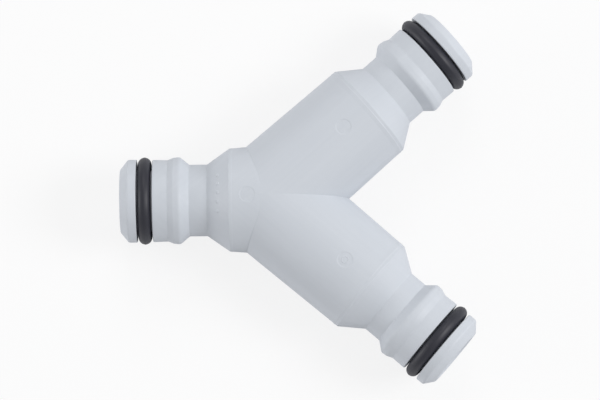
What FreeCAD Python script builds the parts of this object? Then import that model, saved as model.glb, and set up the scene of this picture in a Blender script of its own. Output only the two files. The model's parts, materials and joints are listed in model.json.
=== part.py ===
import FreeCAD, Part

import math
import os

from FreeCAD import Vector

# A garden-hose joiner in the shape of a Y. One moulded body carries three equal snap-in
# spigots, and a rubber seal ring sits in the groove of each. The part lies flat, with the
# inlet towards -X and the two outlets towards +X, one on each side of the XZ plane.
# Every length is in millimetres and every angle in degrees.

# Layout: the three axes meet in one point, the junction
outlet_half_angle = 40.75
inlet_barrel_length = 7.4
outlet_barrel_length = 26.45

# Barrels: each is widest at the junction and tapers towards its shoulder
inlet_barrel_radius = 10.51
inlet_taper = 0.46
inlet_taper_length = 5.6
outlet_barrel_radius = 10.58
outlet_taper = 0.44

# Spigot: its distances are measured from its end face
cone_angle = 35.0
neck_foot_distance = 17.0
neck_radius = 7.0
collar_distance = 11.28
collar_radius = 8.55
collar_crest_width = 0.86
collar_catch_angle = 41.0
collar_ramp_angle = 22.0
back_land_radius = 8.0
front_land_radius = 8.1
front_land_length = 1.7
end_chamfer_length = 1.55
end_face_radius = 6.15

# Water way
bore_radius = 4.5
mouth_chamfer = 0.5

# Seal ring and its groove
seal_section_radius = 1.275
seal_section_sides = 8
seal_side_clearance = 0.275
groove_depth = 2.15

# Marks that the ejector pins leave on top of the barrels
pin_mark_radius = 1.6
pin_mark_depth = 0.1
inlet_pin_mark_distance = 3.8
outlet_pin_mark_distance = 19.8


def tangent(angle):
    return math.tan(math.radians(angle))


class Arm:
    # One arm is drawn along +X, with the junction at x = 0, then turned to its direction.
    def __init__(self, direction, barrel_length, root_radius, taper, taper_length, mark):
        self.direction = direction
        self.barrel_length = barrel_length
        self.root_radius = root_radius
        self.shoulder_radius = root_radius - taper
        self.taper_length = taper_length
        self.pin_mark_distance = mark
        self.neck_foot = barrel_length + (self.shoulder_radius - neck_radius) / tangent(cone_angle)
        self.end = self.neck_foot + neck_foot_distance
        self.groove_front = self.end - end_chamfer_length - front_land_length
        self.groove_back = self.groove_front - 2 * (seal_section_radius + seal_side_clearance)

    def barrel_radius(self, x):
        slope = (self.root_radius - self.shoulder_radius) / self.taper_length
        return min(self.shoulder_radius + slope * (self.barrel_length - x), self.root_radius)

    def turned_out(self, shape):
        return shape.rotated(Vector(0, 0, 0), Vector(0, 0, 1), self.direction)


arms = {
    "inlet": Arm(
        180,
        inlet_barrel_length,
        inlet_barrel_radius,
        inlet_taper,
        inlet_taper_length,
        inlet_pin_mark_distance,
    ),
}
for outlet_name, side in (("left_outlet", 1), ("right_outlet", -1)):
    arms[outlet_name] = Arm(
        side * outlet_half_angle,
        outlet_barrel_length,
        outlet_barrel_radius,
        outlet_taper,
        outlet_barrel_length,
        outlet_pin_mark_distance,
    )


def revolved(outline):
    # A solid of revolution about the X axis from a closed outline of (x, radius) points. The
    # outline is drawn below the axis, so that the seam of every round surface lies underneath.
    points = [Vector(x, 0, -radius) for x, radius in outline]
    face = Part.Face(Part.makePolygon(points + points[:1]))
    return face.revolve(Vector(0, 0, 0), Vector(1, 0, 0), 360)


def collar_outline(end):
    # The snap-in collar, from the foot of its ramp over the crest to the foot of its catch.
    crest_front = end - collar_distance + collar_crest_width / 2
    crest_back = end - collar_distance - collar_crest_width / 2
    ramp_foot = crest_front + (collar_radius - back_land_radius) / tangent(collar_ramp_angle)
    catch_foot = crest_back - (collar_radius - neck_radius) / tangent(collar_catch_angle)
    return [
        (ramp_foot, back_land_radius),
        (crest_front, collar_radius),
        (crest_back, collar_radius),
        (catch_foot, neck_radius),
    ]


def arm_outline(arm, run_past):
    # Half of the arm's lengthwise section, from its end face back past the junction.
    groove_floor_radius = front_land_radius - groove_depth
    return [
        (arm.end, 0),
        (arm.end, end_face_radius),
        (arm.end - end_chamfer_length, front_land_radius),
        (arm.groove_front, front_land_radius),
        (arm.groove_front, groove_floor_radius),
        (arm.groove_back, groove_floor_radius),
        (arm.groove_back, back_land_radius),
        *collar_outline(arm.end),
        (arm.neck_foot, neck_radius),
        (arm.barrel_length, arm.shoulder_radius),
        (arm.barrel_length - arm.taper_length, arm.root_radius),
        (-run_past, arm.root_radius),
        (-run_past, 0),
    ]


def inlet_solid():
    arm = arms["inlet"]
    return arm.turned_out(revolved(arm_outline(arm, 0)))


def outlet_solid(arm):
    # The outlet's crest runs past the junction until the slimmer inlet barrel takes over.
    step = max(outlet_barrel_radius**2 - inlet_barrel_radius**2, 0)
    run_past = math.sqrt(step) / tangent(outlet_half_angle) + 1
    solid = arm.turned_out(revolved(arm_outline(arm, run_past)))
    # Each outlet keeps to its own side of the plane in which the two barrels meet.
    size = 4 * arm.end
    low_y = 0 if arm.direction > 0 else -size
    half_space = Part.makeBox(size, size, size, Vector(-size / 2, low_y, -size / 2))
    return solid.common(half_space)


def water_way(arm):
    # The bore of one arm, from the junction out, with a chamfer at its mouth.
    outline = [
        (0, 0),
        (0, bore_radius),
        (arm.end - mouth_chamfer, bore_radius),
        (arm.end + mouth_chamfer, bore_radius + 2 * mouth_chamfer),
        (arm.end + mouth_chamfer, 0),
    ]
    return arm.turned_out(revolved(outline))


def pin_mark(arm):
    # A round recess of even depth that follows the curve of the barrel.
    distance = arm.pin_mark_distance
    radius = arm.barrel_radius(distance)
    along = Vector(1, 0, 0)
    start = Vector(distance - 2 * pin_mark_radius, 0, 0)
    outer = Part.makeCylinder(2 * radius, 4 * pin_mark_radius, start, along)
    core = Part.makeCylinder(radius - pin_mark_depth, 4 * pin_mark_radius, start, along)
    pin = Part.makeCylinder(pin_mark_radius, 1.5 * radius, Vector(distance, 0, 0))
    return arm.turned_out(pin.common(outer.cut(core)))


def connector_body():
    outer = [outlet_solid(arms["left_outlet"]), outlet_solid(arms["right_outlet"])]
    body = inlet_solid().fuse(outer).removeSplitter()
    return body.cut([water_way(arm) for arm in arms.values()] + [pin_mark(arm) for arm in arms.values()])


def seal_ring(arm):
    # The section has flat sides, and the innermost one grips the floor of the groove.
    middle = (arm.groove_front + arm.groove_back) / 2
    ring_radius = front_land_radius - groove_depth + seal_section_radius
    corner_radius = seal_section_radius / math.cos(math.pi / seal_section_sides)
    section = []
    for corner in range(seal_section_sides):
        turn = (corner + 0.5) * 2 * math.pi / seal_section_sides
        x = middle + corner_radius * math.sin(turn)
        section.append((x, ring_radius - corner_radius * math.cos(turn)))
    return arm.turned_out(revolved(section))


def main():
    pieces = {"connector_body": connector_body()}
    for name, arm in arms.items():
        pieces[name + "_seal_ring"] = seal_ring(arm)
    # The origin is under the middle of the part, on the surface that it lies on.
    box = Part.makeCompound(list(pieces.values())).optimalBoundingBox(False)
    junction = Vector(-box.Center.x, -box.Center.y, -box.ZMin)
    os.makedirs("parts", exist_ok=True)
    for name, shape in pieces.items():
        solid = shape.translated(junction).Solids[0]
        solid.exportStep("parts/" + name + ".step")
        print(name, "solids", len(shape.Solids), "volume", round(solid.Volume, 2), solid.isValid())
    print("junction at", [round(value, 4) for value in junction])
    for name, arm in arms.items():
        print(name, "from the junction: end face", round(arm.end, 4), "groove", round(arm.groove_back, 4))
    print("size", [round(length, 3) for length in (box.XLength, box.YLength, box.ZLength)])


main()
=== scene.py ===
import json
import math

import bmesh
import bpy
from mathutils import Euler, Matrix, Vector

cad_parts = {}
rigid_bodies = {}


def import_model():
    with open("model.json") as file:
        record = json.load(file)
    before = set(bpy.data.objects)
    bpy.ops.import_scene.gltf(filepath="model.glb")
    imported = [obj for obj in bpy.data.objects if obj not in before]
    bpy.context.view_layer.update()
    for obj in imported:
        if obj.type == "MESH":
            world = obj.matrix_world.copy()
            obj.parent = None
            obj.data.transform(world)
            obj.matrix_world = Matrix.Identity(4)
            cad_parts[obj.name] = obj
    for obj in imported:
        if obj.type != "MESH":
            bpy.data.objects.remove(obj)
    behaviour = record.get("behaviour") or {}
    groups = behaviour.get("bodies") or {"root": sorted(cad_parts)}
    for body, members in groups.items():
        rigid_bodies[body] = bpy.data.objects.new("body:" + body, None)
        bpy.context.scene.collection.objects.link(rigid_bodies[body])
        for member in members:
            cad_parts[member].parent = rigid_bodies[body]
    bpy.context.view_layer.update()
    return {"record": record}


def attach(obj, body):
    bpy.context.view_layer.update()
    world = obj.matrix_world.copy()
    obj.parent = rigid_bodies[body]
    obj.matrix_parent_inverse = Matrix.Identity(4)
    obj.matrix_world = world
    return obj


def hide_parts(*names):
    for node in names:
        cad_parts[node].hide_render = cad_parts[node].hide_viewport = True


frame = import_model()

# Garden hose Y connector: a moulded body with three snap-in spigots and their rubber seals.
# The body and the seals are modelled here with their real rounds, on the axes and mounts
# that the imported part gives. Lengths in the settings are millimetres and angles degrees.
mm = 0.001
tiny = 1e-6  # stands for nought in a division
mounts = {mount["name"]: mount for mount in frame["record"]["mounts"]}

# Every arm starts at the junction of the three bores
mainBore = mounts["left_outlet_bore"]
boreAxis = Vector(mainBore["axis"])
junction = Vector(mainBore["pos_m"]) - boreAxis * mainBore["dims"]["length_mm"] * mm / 2
spread = math.atan2(boreAxis.y, boreAxis.x)
boreRadius = mainBore["dims"]["r_mm"]
landRadius = mounts["left_outlet_spigot"]["dims"]["r_mm"]

# Body

bodyStyle = {
    "columns": 72,  # towards each neighbour, so twice as many around an arm
    "arcStep": 11,  # degrees of a round for each row of faces
    "supportGap": 0.12,  # rows that keep the long faces flat beside a round
    "supportRoom": 0.3,  # a flat stretch shorter than this has no such row
    "seamRound": 0.1,  # fillet where two arms meet
    "seamRows": (0, 0.04, 0.08, 0.13, 0.19, 0.27, 0.4, 0.65),  # from the line where they meet
    "seamFarRows": 7,
    "farthestSeam": 8.0,  # the inlet's seam lies nearer to the junction than this
    "halvings": 40,  # of the stretch in which that seam is looked for
    "twinSteps": 12,  # towards the seam between the outlets
    "filletSteps": 8,  # of a seam's corners towards the fillet
    "inletStart": 1.0,  # nearer to the junction, the inlet is inside the outlets
    "grimeReach": 0.2,  # the painted shade in a seam fades out over this
    "grimeShares": {"left": 0.8, "right": 4.5, "between": 1.1},  # how much of the painted shade shows in each seam
    "betweenReach": 1.0,  # the seam between the outlets keeps this near to their middle plane
    "partingStops": (0.25, 0.6, 1.0),  # degrees from the mould's parting plane
    "partingReach": 0.5,  # columns nearer to that plane than this are raised, as the parting line
    "partingHeight": 0.035,
    "partingEnd": 1.0,  # the line ends this far behind the seal's groove
    "boreStart": 0.5,  # the bore's rings begin this far past the corner where the bores meet
    "mouthChamfer": 0.5,
    "mouthRound": 0.12,
    "endFaceRadius": 6.15,
    "endFaceRound": 0.3,
    "chamferLength": 1.55,
    "chamferRound": 0.6,
    "frontLandLength": 1.7,
    "grooveDepth": 2.15,
    "grooveWidth": 3.1,
    "grooveEdgeRound": 0.2,
    "grooveFloorRound": 0.3,
    "backLandEdgeRadius": 8.05,
    "rampFoot": (9.3, 7.95, 0.3),  # distance from the end face, radius, round
    "crestFront": (10.42, 8.4, 0.3),
    "crestBack": (11.65, 8.55, 1.0),
    "catchAngle": 40,
    "catchFootRound": 0.2,
    "neckFootDistance": 17.0,
    "neckRadius": 7.0,
    "neckFootRound": 0.25,
    "coneAngle": 35,
    "shoulderRound": 0.25,
    "bandRound": 0.06,
    "mergeReach": 1e-4,  # corners nearer to each other than this are joined
    "sharpAngle": 15,  # degrees between two faces, past which their edge is drawn sharp
}
inletStyle = {
    "barrel": 7.4,
    "rootRadius": 10.51,
    "taper": 0.46,
    "taperLength": 5.45,
    "lastRing": 5.0,  # from here out, the barrel's rows are full rings
    "band": ((0.62, 0), (0.5, 0.035), (0, 0.018)),  # corners: distance before the shoulder, height
}
outletStyle = {
    "barrel": 26.45,
    "rootRadius": 10.58,
    "taper": 0.44,
    "taperLength": 26.45,
    "lastRing": 13.4,
    "band": ((1.5, 0), (0.7, 0.055), (0.56, 0), (0, 0)),
}
arms = {
    "inlet": (inletStyle, math.pi),
    "left_outlet": (outletStyle, spread),
    "right_outlet": (outletStyle, -spread),
}


def tangent(degrees):
    return math.tan(math.radians(degrees))


def armAxes(direction):
    # The way along an arm, and the way across it on the floor
    along = Vector((math.cos(direction), math.sin(direction), 0))
    across = Vector((-math.sin(direction), math.cos(direction), 0))
    return along, across


def barrelRadius(style, x):
    slope = style["taper"] / style["taperLength"]
    shoulder = style["rootRadius"] - style["taper"]
    return min(shoulder + slope * (style["barrel"] - x), style["rootRadius"])


def neckFoot(style):
    rise = style["rootRadius"] - style["taper"] - bodyStyle["neckRadius"]
    return style["barrel"] + rise / tangent(bodyStyle["coneAngle"])


def armEnd(style):
    return neckFoot(style) + bodyStyle["neckFootDistance"]


def grooveSides(style):
    front = armEnd(style) - bodyStyle["chamferLength"] - bodyStyle["frontLandLength"]
    return front - bodyStyle["grooveWidth"], front


def rounded(corners):
    # A chain of (x, radius, round) corners becomes points, with arcs at the rounds and
    # a support point on each side of them where there is room
    points = [Vector(corners[0][:2])]
    for before, corner, after in zip(corners, corners[1:], corners[2:]):
        here = Vector(corner[:2])
        toBack = Vector(before[:2]) - here
        toFront = Vector(after[:2]) - here
        turn = math.pi - toBack.angle(toFront)
        reach = corner[2] * math.tan(turn / 2)
        first = here + toBack.normalized() * reach
        middle = (toBack.normalized() + toFront.normalized()).normalized()
        centre = here + middle * corner[2] / math.cos(turn / 2)
        side = 1 if toBack.cross(toFront) < 0 else -1
        steps = max(2, math.ceil(math.degrees(turn) / bodyStyle["arcStep"]))
        gap = bodyStyle["supportGap"]
        if toBack.length - reach > bodyStyle["supportRoom"]:
            points.append(first + toBack.normalized() * gap)
        for step in range(steps + 1):
            turned = Matrix.Rotation(side * turn * step / steps, 2) @ (first - centre)
            points.append(centre + turned)
        if toFront.length - reach > bodyStyle["supportRoom"]:
            points.append(here + toFront.normalized() * (reach + gap))
    return points + [Vector(corners[-1][:2])]


def collarCorners(style):
    sizes = bodyStyle
    end = armEnd(style)
    distance, crestRadius = sizes["crestBack"][:2]
    catchFoot = end - distance - (crestRadius - sizes["neckRadius"]) / tangent(sizes["catchAngle"])
    corners = [(catchFoot, sizes["neckRadius"], sizes["catchFootRound"])]
    for distance, radius, edge in (sizes["crestBack"], sizes["crestFront"], sizes["rampFoot"]):
        corners.append((end - distance, radius, edge))
    return corners


def armOutline(style):
    # From the last full ring of the barrel, out along the spigot and back along the bore
    sizes = bodyStyle
    end = armEnd(style)
    grooveBack, grooveFront = grooveSides(style)
    floorRadius = landRadius - sizes["grooveDepth"]
    corners = [(style["lastRing"], barrelRadius(style, style["lastRing"]), 0)]
    for before, height in style["band"]:
        x = style["barrel"] - before
        edge = sizes["bandRound"] if before else sizes["shoulderRound"]
        corners.append((x, barrelRadius(style, x) + height, edge))
    corners += [
        (neckFoot(style), sizes["neckRadius"], sizes["neckFootRound"]),
        *collarCorners(style),
        (grooveBack, sizes["backLandEdgeRadius"], sizes["grooveEdgeRound"]),
        (grooveBack, floorRadius, sizes["grooveFloorRound"]),
        (grooveFront, floorRadius, sizes["grooveFloorRound"]),
        (grooveFront, landRadius, sizes["grooveEdgeRound"]),
        (end - sizes["chamferLength"], landRadius, sizes["chamferRound"]),
        (end, sizes["endFaceRadius"], sizes["endFaceRound"]),
        (end, boreRadius + sizes["mouthChamfer"], sizes["mouthRound"]),
        (end - sizes["mouthChamfer"], boreRadius, sizes["mouthRound"]),
        (boreRadius / math.tan(spread) + sizes["boreStart"], boreRadius, 0),
    ]
    return rounded(corners)


def meetInlet(inletRadius, outletRadius, turn):
    # Where the inlet's surface meets the left outlet's, at an angle about the inlet's axis:
    # the distance along the inlet, then along the outlet, and the angle about the outlet
    near, far = 0, bodyStyle["farthestSeam"]
    for halving in range(bodyStyle["halvings"]):
        x = (near + far) / 2
        y = inletRadius(x) * math.cos(turn)
        z = inletRadius(x) * math.sin(turn)
        along = y * math.sin(spread) - x * math.cos(spread)
        across = y * math.cos(spread) + x * math.sin(spread)
        if math.hypot(across, z) < outletRadius(along):
            near = x
        else:
            far = x
    return x, along, math.atan2(z, across)


def meetTwin(outletRadius, turn):
    # Where an outlet's surface reaches the plane between the two outlets
    x = 0
    for step in range(bodyStyle["twinSteps"]):
        x = -outletRadius(x) * math.cos(turn) / math.tan(spread)
    return x


def columnTurns():
    # Even angles over half a turn, and the parting line's own columns around the middle one
    count = bodyStyle["columns"]
    even = [math.pi * (k / count - 0.5) for k in range(count + 1)]
    fine = [math.radians(stop * side) for stop in bodyStyle["partingStops"] for side in (1, -1)]
    return sorted(even + fine)


def armHalves():
    # Each half is (style, direction, columns), for the model's half with y above 0. A column
    # is (turn from the half's middle, outer angle, outer seam, bore angle, bore seam).
    # The outlet has two: one faces the inlet, and the other takes up the angles that are left.
    def outerInlet(x):
        return barrelRadius(inletStyle, x)

    def outerOutlet(x):
        return barrelRadius(outletStyle, x)

    def bore(x):
        return boreRadius

    inletHalf, outletFacingInlet, outletFacingTwin = [], [], []
    lastTurn = meetInlet(outerInlet, outerOutlet, math.pi / 2)[2]
    for turn in columnTurns():
        x, along, angle = meetInlet(outerInlet, outerOutlet, turn)
        boreX, boreAlong, boreAngle = meetInlet(bore, bore, turn)
        inletHalf.append((turn, math.pi - turn, x, math.pi - turn, boreX))
        outletFacingInlet.append((turn, angle, along, boreAngle, boreAlong))
        angle = math.pi + turn * (math.pi - lastTurn) / (math.pi / 2)
        boreAngle = math.pi + turn
        column = (turn, angle, meetTwin(outerOutlet, angle), boreAngle, meetTwin(bore, boreAngle))
        outletFacingTwin.append(column)
    return [
        (inletStyle, math.pi, inletHalf),
        (outletStyle, spread, outletFacingInlet),
        (outletStyle, spread, outletFacingTwin),
    ]


def blend(first, second, firstNormal, secondNormal):
    # The smaller of two distances, with a fillet of even radius where they are about equal,
    # and the normal there
    reach = bodyStyle["seamRound"] * (1 - firstNormal.dot(secondNormal))
    share = min(max(0.5 + (second - first) / (2 * max(reach, tiny)), 0), 1)
    distance = second + (first - second) * share - reach * share * (1 - share)
    return distance, (secondNormal.lerp(firstNormal, share)).normalized()


def barrelDistance(style, direction, point):
    # How far a point lies outside one barrel, and the barrel's normal there
    along = armAxes(direction)[0]
    x = point.dot(along)
    radial = point - along * x
    return radial.length - barrelRadius(style, x), radial.normalized()


def ontoFillet(point):
    # Moves a point that lies near the seams onto the filleted union of the barrels. The
    # outlets meet each other in a hollow only past the junction, and the inlet before it.
    side = 1 if point.y >= 0 else -1
    for step in range(bodyStyle["filletSteps"]):
        distance, normal = barrelDistance(outletStyle, side * spread, point)
        if point.x > 0:
            twin, twinNormal = barrelDistance(outletStyle, -side * spread, point)
            distance, normal = blend(distance, twin, normal, twinNormal)
        elif point.x < -bodyStyle["inletStart"]:
            inlet, inletNormal = barrelDistance(inletStyle, math.pi, point)
            distance, normal = blend(distance, inlet, normal, inletNormal)
        point = point - normal * distance
    return point


def paintedShadeShare(point):
    # Painted shade in the seams: darker where two barrels meet at a sharper angle, and most on the right
    # side
    shares = bodyStyle["grimeShares"]
    side = 1 if point.y > 0 else -1
    own = barrelDistance(outletStyle, side * spread, point)[1]
    if point.x > 0 and abs(point.y) < bodyStyle["betweenReach"]:
        other = barrelDistance(outletStyle, -side * spread, point)[1]
        share = shares["between"]
    else:
        other = barrelDistance(inletStyle, math.pi, point)[1]
        share = shares["left" if side > 0 else "right"]
    return min((1 - own.dot(other)) * share, 1)


def columnPoints(style, outline, column):
    # The corners down one column as (distance along the arm, radius, angle): the rows beside
    # the seam, the rest of the barrel, the outline, and the bore's seam
    sizes = bodyStyle
    turn, angle, seam, boreAngle, boreSeam = column
    grooveBack, grooveFront = grooveSides(style)
    endFaceMiddle = (sizes["endFaceRadius"] + boreRadius + sizes["mouthChamfer"]) / 2
    lift = sizes["partingHeight"] if abs(math.degrees(turn)) < sizes["partingReach"] else 0
    points = [(seam + gap, barrelRadius(style, seam + gap), angle) for gap in sizes["seamRows"]]
    start = seam + sizes["seamRows"][-1]
    for row in range(1, sizes["seamFarRows"]):
        x = start + (style["lastRing"] - start) * row / sizes["seamFarRows"]
        points.append((x, barrelRadius(style, x) + lift, angle))
    for x, radius in outline[:-1]:
        if x > grooveFront and radius < endFaceMiddle:
            points.append((x, radius, boreAngle))
        elif x < grooveBack - sizes["partingEnd"]:
            points.append((x, radius + lift, angle))
        else:
            points.append((x, radius, angle))
    boreStart = outline[-1].x
    return points + [(boreStart, boreRadius, boreAngle), (boreSeam, boreRadius, boreAngle)]


def addHalf(mesh, marks, style, direction, columns, side):
    # One half of an arm's wall as a grid of faces, whose first rows are marked as the seam's and hold its
    # painted shade
    along, across = armAxes(direction)
    outline = armOutline(style)
    lines = []
    for column in columns:
        line = []
        for x, radius, angle in columnPoints(style, outline, column):
            here = along * x + across * radius * math.cos(angle)
            line.append(mesh.verts.new((here.x, here.y * side, radius * math.sin(angle))))
        for vert, gap in zip(line, bodyStyle["seamRows"]):
            vert[marks["seam"]] = 1
            # painted shade, darkest on the seam and fading out away from it
            vert[marks["grime"]] = max(1 - gap / bodyStyle["grimeReach"], 0)
        lines.append(line)
    for left, right in zip(lines, lines[1:]):
        for row in range(len(left) - 1):
            mesh.faces.new((left[row], left[row + 1], right[row + 1], right[row]))


def makeBodyShell():
    shell = bmesh.new()
    layers = shell.verts.layers
    marks = {"seam": layers.int.new("seam"), "grime": layers.float.new("grime")}
    for style, direction, columns in armHalves():
        for side in (1, -1):
            addHalf(shell, marks, style, direction, columns, side)
    bmesh.ops.remove_doubles(shell, verts=shell.verts, dist=bodyStyle["mergeReach"])
    for vert in shell.verts:
        if vert[marks["seam"]]:
            vert.co = ontoFillet(vert.co)
            # the seam's painted shade, scaled by how sharply the barrels meet there
            vert[marks["grime"]] *= paintedShadeShare(vert.co)
    bmesh.ops.recalc_face_normals(shell, faces=shell.faces)
    return shell


# Marks of the ejector pins, on top of the barrels

pinStyle = {
    "radius": 1.6,
    "depth": 0.08,
    "wall": 0.26,  # width of the sloping wall
    "above": 0.8,  # how far the cutter stands out of the barrel
    "sides": 56,
    "centreRadius": 0.35,  # of the corners round the floor's middle
    "distances": {"inlet": 3.8, "left_outlet": 19.8, "right_outlet": 19.8},  # from the junction
    "ringedArm": "right_outlet",  # whose mark has a small raised ring on its floor
    "ringRadii": (0.5, 0.57, 0.72, 0.79),
    "ringHeight": 0.05,
}


def addPinCutter(mesh, armName):
    # A closed plug whose floor lies at an even depth under the barrel. Its sloping side goes
    # on a little way above the surface, at the same slope, and then straight up.
    sizes = pinStyle
    style, direction = arms[armName]
    distance = sizes["distances"][armName]
    floor = -sizes["depth"]
    section = [(sizes["centreRadius"], floor)]
    if armName == sizes["ringedArm"]:
        inner, innerTop, outerTop, outer = sizes["ringRadii"]
        top = floor + sizes["ringHeight"]
        section += [(inner, floor), (innerTop, top), (outerTop, top), (outer, floor)]
    section += [
        (sizes["radius"] - sizes["wall"], floor),
        (sizes["radius"], 0),
        (sizes["radius"] + sizes["wall"] / 2, sizes["depth"] / 2),
        (sizes["radius"] + sizes["wall"] / 2, sizes["above"]),
    ]
    along, across = armAxes(direction)

    def place(reach, turn, height):
        x = distance + reach * math.cos(turn)
        aside = reach * math.sin(turn)
        here = along * x + across * aside
        here.z = math.sqrt((barrelRadius(style, x) + height) ** 2 - aside**2)
        return mesh.verts.new(here)

    turns = [math.tau * k / sizes["sides"] for k in range(sizes["sides"])]
    rings = [[place(reach, turn, height) for turn in turns] for reach, height in section]
    for lower, upper in zip(rings, rings[1:]):
        for k in range(sizes["sides"]):
            mesh.faces.new((lower[k], lower[k - 1], upper[k - 1], upper[k]))
    bottom = place(0, 0, floor)
    top = place(0, 0, sizes["above"])
    for k in range(sizes["sides"]):
        mesh.faces.new((bottom, rings[0][k - 1], rings[0][k]))
        mesh.faces.new((top, rings[-1][k], rings[-1][k - 1]))


def pinCutters():
    cutters = bmesh.new()
    for armName in arms:
        addPinCutter(cutters, armName)
    bmesh.ops.recalc_face_normals(cutters, faces=cutters.faces)
    return cutters


def newObject(name, shape):
    # shape is a bmesh, which is used up, or a finished mesh
    mesh = shape
    if isinstance(shape, bmesh.types.BMesh):
        mesh = bpy.data.meshes.new(name)
        shape.to_mesh(mesh)
        shape.free()
    thing = bpy.data.objects.new(name, mesh)
    bpy.context.scene.collection.objects.link(thing)
    return thing


def finishedMesh(thing):
    # The mesh with its modifiers applied
    bpy.context.view_layer.update()
    evaluated = thing.evaluated_get(bpy.context.evaluated_depsgraph_get())
    return bpy.data.meshes.new_from_object(evaluated)


def makeBody():
    shell = newObject("bodyShell", makeBodyShell())
    cutters = newObject("pinCutters", pinCutters())
    cut = shell.modifiers.new("pins", "BOOLEAN")
    cut.operation = "DIFFERENCE"
    cut.solver = "MANIFOLD"
    cut.object = cutters
    mesh = finishedMesh(shell)
    for helper in (shell, cutters):
        bpy.data.objects.remove(helper)
    mesh.transform(Matrix.Translation(junction) @ Matrix.Scale(mm, 4))
    mesh.materials.clear()
    mesh.shade_smooth()
    mesh.set_sharp_from_angle(angle=math.radians(bodyStyle["sharpAngle"]))
    return newObject("mouldedBody", mesh)


body = makeBody()
print("body:", len(body.data.polygons), "faces")

# Nodes, for geometry and materials alike


class Output:
    # A node's output that takes part in plain arithmetic, which adds Math nodes to its tree
    def __init__(self, sheet, socket):
        self.sheet = sheet
        self.socket = socket

    def __getitem__(self, name):
        return Output(self.sheet, self.sheet.find(self.socket.node.outputs, name))

    def maths(self, operation, first, second=0.0):
        return self.sheet.node("ShaderNodeMath", {"operation": operation}, {0: first, 1: second})

    def __add__(self, other):
        return self.maths("ADD", self, other)

    def __sub__(self, other):
        return self.maths("SUBTRACT", self, other)

    def __rsub__(self, other):
        return self.maths("SUBTRACT", other, self)

    def __mul__(self, other):
        return self.maths("MULTIPLY", self, other)

    def __truediv__(self, other):
        return self.maths("DIVIDE", self, other)

    def __rtruediv__(self, other):
        return self.maths("DIVIDE", other, self)

    def __pow__(self, other):
        return self.maths("POWER", self, other)

    def __rpow__(self, other):
        return self.maths("POWER", other, self)

    def atLeast(self, other):
        return self.maths("MAXIMUM", self, other)

    def above(self, other):
        return self.maths("GREATER_THAN", self, other)

    def below(self, other):
        return self.maths("LESS_THAN", self, other)

    def size(self):
        return self.maths("ABSOLUTE", self)

    def exponent(self):
        return self.maths("EXPONENT", self)

    __radd__ = __add__
    __rmul__ = __mul__


class Sheet:
    # A node tree that is being drawn
    def __init__(self, tree):
        self.tree = tree

    def find(self, sockets, key):
        if isinstance(key, int):
            return sockets[key]
        return next(s for s in sockets if s.enabled and key in (s.name, s.identifier))

    def node(self, kind, settings=None, values=None):
        made = self.tree.nodes.new(kind)
        for name, setting in (settings or {}).items():
            setattr(made, name, setting)
        for key, value in (values or {}).items():
            socket = self.find(made.inputs, key)
            if isinstance(value, Output):
                self.tree.links.new(value.socket, socket)
            else:
                socket.default_value = value
        outputs = [output for output in made.outputs if output.enabled]
        return Output(self, outputs[0]) if outputs else None


def geometryTree(name, inputs):
    # An empty geometry tree with named inputs, and the way to each input
    tree = bpy.data.node_groups.new(name, "GeometryNodeTree")
    kinds = {"Count": "Int", "Place": "Vector", "Turn": "Rotation", "Material": "Material"}
    for label in inputs:
        kind = "NodeSocket" + kinds.get(label, "Float")
        tree.interface.new_socket(label, in_out="INPUT", socket_type=kind)
    tree.interface.new_socket("Geometry", in_out="OUTPUT", socket_type="NodeSocketGeometry")
    sheet = Sheet(tree)
    return sheet, sheet.node("NodeGroupInput")


def finishTree(sheet, geometry, source):
    real = sheet.node("GeometryNodeRealizeInstances", None, {"Geometry": geometry})
    values = {"Geometry": real, "Material": source["Material"]}
    painted = sheet.node("GeometryNodeSetMaterial", None, values)
    sheet.node("NodeGroupOutput", None, {"Geometry": painted})


def growFromTree(name, tree, values):
    # Runs a geometry tree and keeps its result as a plain mesh
    grown = newObject(name, bpy.data.meshes.new(name))
    modifier = grown.modifiers.new("nodes", "NODES")
    modifier.node_group = tree
    for item in tree.interface.items_tree:
        if item.in_out == "INPUT":
            modifier[item.identifier] = values[item.name]
    mesh = finishedMesh(grown)
    grown.modifiers.clear()
    grown.data = mesh
    return grown


# Materials

plasticStyle = {
    "colour": (0.60, 0.632, 0.682, 1),
    "deepColour": (0.565, 0.598, 0.648, 1),
    "mottleSize": 9.0,
    "mottleDetail": 3.0,
    "mottleShare": 0.7,  # of the mix with the grain
    "grainSize": 0.22,
    "grainDetail": 2.0,
    "streakLength": 26.0,  # faint lines that run along the outlets
    "streakWidth": 0.7,
    "streakDetail": 2.0,
    "streakStrength": 0.9,
    "speckSpacing": 4.0,
    "speckSize": 0.16,
    "speckShare": 0.04,
    "speckColour": (0.36, 0.38, 0.42, 1),
    # painted shade in the seams between the arms
    "grimeColour": (0.42, 0.45, 0.49, 1),
    "grimeStrength": 0.6,
    "roughness": 0.52,
    "roughnessSpread": 0.1,
    "ior": 1.49,
    "bump": 0.15,
    "bumpDepth": 0.02,
}
rubberStyle = {
    "colour": (0.013, 0.0135, 0.021, 1),
    "paleColour": (0.023, 0.024, 0.036, 1),
    "grainSize": 0.12,
    "grainDetail": 3.0,
    "roughness": 0.5,
    "roughnessSpread": 0.12,
    "bump": 0.2,
    "bumpDepth": 0.02,
}


def newMaterial(name):
    material = bpy.data.materials.new(name)
    material.use_nodes = True
    material.node_tree.nodes.clear()
    return material, Sheet(material.node_tree)


def noise(sheet, place, size, detail):
    values = {"Vector": place, "Scale": 1 / (size * mm), "Detail": detail}
    return sheet.node("ShaderNodeTexNoise", None, values)


def mixColours(sheet, factor, first, second):
    values = {"Factor": factor, "A": first, "B": second}
    return sheet.node("ShaderNodeMix", {"data_type": "RGBA"}, values)


def bumped(sheet, height, style):
    values = {"Height": height, "Strength": style["bump"], "Distance": style["bumpDepth"] * mm}
    return sheet.node("ShaderNodeBump", None, values)


def finishMaterial(sheet, values):
    surface = sheet.node("ShaderNodeBsdfPrincipled", None, values)
    sheet.node("ShaderNodeOutputMaterial", None, {"Surface": surface})


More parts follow.
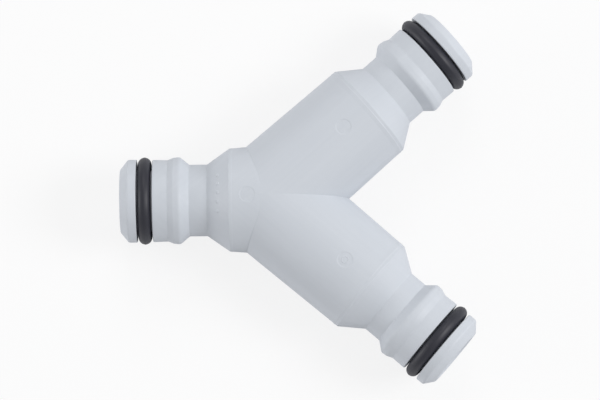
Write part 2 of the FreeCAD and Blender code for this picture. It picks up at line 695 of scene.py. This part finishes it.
def makePlastic():
    look = plasticStyle
    material, sheet = newMaterial("mouldedPlastic")
    place = sheet.node("ShaderNodeTexCoord")["Object"]
    mottle = noise(sheet, place, look["mottleSize"], look["mottleDetail"])
    grain = noise(sheet, place, look["grainSize"], look["grainDetail"])
    # Both outlets are folded onto one axis, so that the streaks follow each of them, and
    # their real side goes in as the third coordinate, so that they don't look alike
    parts = sheet.node("ShaderNodeSeparateXYZ", None, {"Vector": place})
    ahead = parts["X"] - junction.x
    aside = parts["Y"].size()
    along = ahead * math.cos(spread) + aside * math.sin(spread)
    across = aside * math.cos(spread) - ahead * math.sin(spread)
    streakPlace = sheet.node(
        "ShaderNodeCombineXYZ",
        None,
        {
            "X": along / (look["streakLength"] * mm),
            "Y": across / (look["streakWidth"] * mm),
            "Z": parts["Y"] / (look["streakLength"] * mm),
        },
    )
    values = {"Vector": streakPlace, "Scale": 1.0, "Detail": look["streakDetail"]}
    streak = sheet.node("ShaderNodeTexNoise", None, values)
    values = {"Vector": place, "Scale": 1 / (look["speckSpacing"] * mm)}
    cell = sheet.node("ShaderNodeTexVoronoi", None, values)
    shade = sheet.node("ShaderNodeSeparateColor", None, {"Color": cell["Color"]})
    isSpeck = shade["Red"].below(look["speckShare"])
    speck = isSpeck * cell["Distance"].below(shade["Green"] * look["speckSize"] / look["speckSpacing"])
    blotches = mottle * look["mottleShare"] + grain * (1 - look["mottleShare"])
    paleness = blotches + (streak - 0.5) * look["streakStrength"]
    plain = mixColours(sheet, paleness, look["deepColour"], look["colour"])
    specked = mixColours(sheet, speck, plain, look["speckColour"])
    # painted shade in the seams, carried by the mesh's attribute
    grime = sheet.node("ShaderNodeAttribute", {"attribute_name": "grime"})["Fac"]
    colour = mixColours(sheet, grime * look["grimeStrength"], specked, look["grimeColour"])
    values = {
        "Base Color": colour,
        "Roughness": look["roughness"] + (grain - 0.5) * look["roughnessSpread"],
        "IOR": look["ior"],
        "Normal": bumped(sheet, grain, look),
    }
    finishMaterial(sheet, values)
    return material


def makeRubber():
    look = rubberStyle
    material, sheet = newMaterial("sealRubber")
    place = sheet.node("ShaderNodeTexCoord")["Object"]
    grain = noise(sheet, place, look["grainSize"], look["grainDetail"])
    values = {
        "Base Color": mixColours(sheet, grain, look["colour"], look["paleColour"]),
        "Roughness": look["roughness"] + (grain - 0.5) * look["roughnessSpread"],
        "Normal": bumped(sheet, grain, look),
    }
    finishMaterial(sheet, values)
    return material


plastic = makePlastic()
rubber = makeRubber()
body.data.materials.append(plastic)
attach(body, "root")
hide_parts("connector_body")
print("materials made")

# Seal rings

ringStyle = {
    "outerRadius": 8.5,
    "sectionRadius": 1.29,  # a little of it is pressed flat on the groove's floor
    "flashHeight": 0.04,
    "flashWidth": 0.09,
    "pathSides": 144,
    "sectionSides": 48,
}


def ringTree():
    # A round section swept round a circle, pressed flat where it grips the groove's floor,
    # with the fine flash line of its mould round the outside
    sheet, source = geometryTree(
        "sealRing",
        (
            "Ring Radius",
            "Section Radius",
            "Floor Radius",
            "Flash Height",
            "Flash Width",
            "Place",
            "Turn",
            "Material",
        ),
    )
    path = sheet.node(
        "GeometryNodeCurvePrimitiveCircle",
        None,
        {"Resolution": ringStyle["pathSides"], "Radius": source["Ring Radius"]},
    )
    section = sheet.node(
        "GeometryNodeCurvePrimitiveCircle",
        None,
        {"Resolution": ringStyle["sectionSides"], "Radius": source["Section Radius"]},
    )
    swept = sheet.node("GeometryNodeCurveToMesh", None, {"Curve": path, "Profile Curve": section})
    place = sheet.node("ShaderNodeSeparateXYZ", None, {"Vector": sheet.node("GeometryNodeInputPosition")})
    reach = (place["X"] * place["X"] + place["Y"] * place["Y"]) ** 0.5
    offset = place["Z"] / source["Flash Width"]
    isOutside = reach.above(source["Ring Radius"])
    flash = source["Flash Height"] * isOutside / (offset * offset).exponent()
    grown = (reach + flash).atLeast(source["Floor Radius"]) / reach
    moved = sheet.node(
        "ShaderNodeCombineXYZ",
        None,
        {"X": place["X"] * grown, "Y": place["Y"] * grown, "Z": place["Z"]},
    )
    shaped = sheet.node("GeometryNodeSetPosition", None, {"Geometry": swept, "Position": moved})
    seated = sheet.node(
        "GeometryNodeTransform",
        None,
        {"Geometry": shaped, "Translation": source["Place"], "Rotation": source["Turn"]},
    )
    finishTree(sheet, seated, source)
    return sheet.tree


def makeRing(armName, tree):
    sizes = ringStyle
    style, direction = arms[armName]
    middle = sum(grooveSides(style)) / 2
    ring = growFromTree(
        armName + "_seal",
        tree,
        {
            "Ring Radius": (sizes["outerRadius"] - sizes["sectionRadius"]) * mm,
            "Section Radius": sizes["sectionRadius"] * mm,
            "Floor Radius": (landRadius - bodyStyle["grooveDepth"]) * mm,
            "Flash Height": sizes["flashHeight"] * mm,
            "Flash Width": sizes["flashWidth"] * mm,
            "Place": junction + armAxes(direction)[0] * middle * mm,
            "Turn": Euler((0, math.pi / 2, direction)),
            "Material": rubber,
        },
    )
    ring.data.shade_smooth()
    return ring


sealTree = ringTree()
for armName in arms:
    ring = makeRing(armName, sealTree)
    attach(ring, "root")
    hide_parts(armName + "_seal_ring")
print("seal rings made")

# Cavity mark: a row of small raised pips round the inlet's cone

pipStyle = {
    "count": 5,
    "distance": 9.6,  # from the junction
    "firstTurn": -20,  # degrees from the top, about the inlet's axis
    "step": 12,
    "ballRadius": 0.55,
    "ballSegments": 32,
    "ballRings": 20,
    "height": 0.17,
}


def pipTree():
    sheet, source = geometryTree(
        "pipRow", ("Count", "Arc Radius", "Start", "Sweep", "Ball Radius", "Place", "Turn", "Material")
    )
    arc = sheet.node(
        "GeometryNodeCurveArc",
        None,
        {
            "Resolution": source["Count"],
            "Radius": source["Arc Radius"],
            "Start Angle": source["Start"],
            "Sweep Angle": source["Sweep"],
        },
    )
    points = sheet.node("GeometryNodeCurveToPoints", {"mode": "EVALUATED"}, {"Curve": arc})
    ball = sheet.node(
        "GeometryNodeMeshUVSphere",
        None,
        {
            "Segments": pipStyle["ballSegments"],
            "Rings": pipStyle["ballRings"],
            "Radius": source["Ball Radius"],
        },
    )
    row = sheet.node("GeometryNodeInstanceOnPoints", None, {"Points": points, "Instance": ball})
    seated = sheet.node(
        "GeometryNodeTransform",
        None,
        {"Geometry": row, "Translation": source["Place"], "Rotation": source["Turn"]},
    )
    finishTree(sheet, seated, source)
    return sheet.tree


def makePips():
    sizes = pipStyle
    slope = bodyStyle["coneAngle"]
    surface = barrelRadius(inletStyle, inletStyle["barrel"])
    surface -= (sizes["distance"] - inletStyle["barrel"]) * tangent(slope)
    sink = sizes["ballRadius"] - sizes["height"]
    turn = math.radians(slope)
    pips = growFromTree(
        "cavity_pips",
        pipTree(),
        {
            "Count": sizes["count"],
            "Arc Radius": (surface - sink * math.cos(turn)) * mm,
            "Start": math.radians(sizes["firstTurn"]),
            "Sweep": math.radians(sizes["step"] * (sizes["count"] - 1)),
            "Ball Radius": sizes["ballRadius"] * mm,
            "Place": junction - Vector(((sizes["distance"] - sink * math.sin(turn)) * mm, 0, 0)),
            "Turn": Euler((0, -math.pi / 2, 0)),
            "Material": plastic,
        },
    )
    pips.data.shade_smooth()
    return pips


pips = makePips()
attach(pips, "root")
print("pips made")

# Floor, light and camera

studioStyle = {  # here lengths are metres, and the lamps' powers watts
    "floorSize": 3.0,
    "floorColour": (0.85, 0.85, 0.86, 1),
    "floorGlow": 0.82,  # share of plain white that the camera sees in the floor
    "ambient": 0.49,
    "lampSize": 0.5,
    "lamps": {
        "rightLight": ((0.93, 0, 0.84), 8.2),
        "backLight": ((0, 0.93, 0.84), 2.9),
        "leftLight": ((-1.22, 0, 0.26), 4.4),
    },
}
cameraStyle = {
    "place": (9.3, -99.6, 913.6),
    "target": (0.5, -0.13, 10.58),
    "roll": -0.6,
    "lens": 278.8,
}


def makeFloor():
    half = studioStyle["floorSize"] / 2
    plane = bmesh.new()
    around = ((-half, -half), (half, -half), (half, half), (-half, half))
    plane.faces.new([plane.verts.new((x, y, 0)) for x, y in around])
    floor = newObject("floor", plane)
    material, sheet = newMaterial("paleFloor")
    seen = sheet.node("ShaderNodeLightPath")["Is Camera Ray"]
    matt = sheet.node("ShaderNodeBsdfDiffuse", None, {"Color": studioStyle["floorColour"]})
    glow = sheet.node("ShaderNodeEmission", None, {"Color": (1, 1, 1, 1), "Strength": 1.0})
    mixed = sheet.node(
        "ShaderNodeMixShader", None, {"Fac": seen * studioStyle["floorGlow"], 1: matt, 2: glow}
    )
    sheet.node("ShaderNodeOutputMaterial", None, {"Surface": mixed})
    floor.data.materials.append(material)


def makeWorld():
    world = bpy.data.worlds.new("studio")
    world.use_nodes = True
    world.node_tree.nodes.clear()
    sheet = Sheet(world.node_tree)
    seen = sheet.node("ShaderNodeLightPath")["Is Camera Ray"]
    level = seen * (1 - studioStyle["ambient"]) + studioStyle["ambient"]
    sky = sheet.node("ShaderNodeBackground", None, {"Color": (1, 1, 1, 1), "Strength": level})
    sheet.node("ShaderNodeOutputWorld", None, {"Surface": sky})
    bpy.context.scene.world = world


def makeLamps():
    # Soft square lamps, all of one size, turned towards the part
    for name, (place, power) in studioStyle["lamps"].items():
        lamp = bpy.data.lights.new(name, "AREA")
        lamp.shape = "SQUARE"
        lamp.size = studioStyle["lampSize"]
        lamp.energy = power
        light = bpy.data.objects.new(name, lamp)
        light.location = place
        light.rotation_euler = (-light.location).to_track_quat("-Z", "Y").to_euler()
        bpy.context.scene.collection.objects.link(light)


def makeCamera():
    view = cameraStyle
    place = Vector(view["place"]) * mm
    lens = bpy.data.cameras.new("camera")
    lens.lens = view["lens"]
    camera = bpy.data.objects.new("camera", lens)
    back = (place - Vector(view["target"]) * mm).normalized()
    right = Vector((0, 1, 0)).cross(back).normalized()
    upright = Matrix((right, back.cross(right), back)).transposed()
    camera.location = place
    camera.rotation_euler = (upright @ Matrix.Rotation(math.radians(view["roll"]), 3, "Z")).to_euler()
    bpy.context.scene.collection.objects.link(camera)
    bpy.context.scene.camera = camera


makeFloor()
makeWorld()
makeLamps()
makeCamera()
bpy.context.scene.view_settings.view_transform = "Standard"
print("studio made")
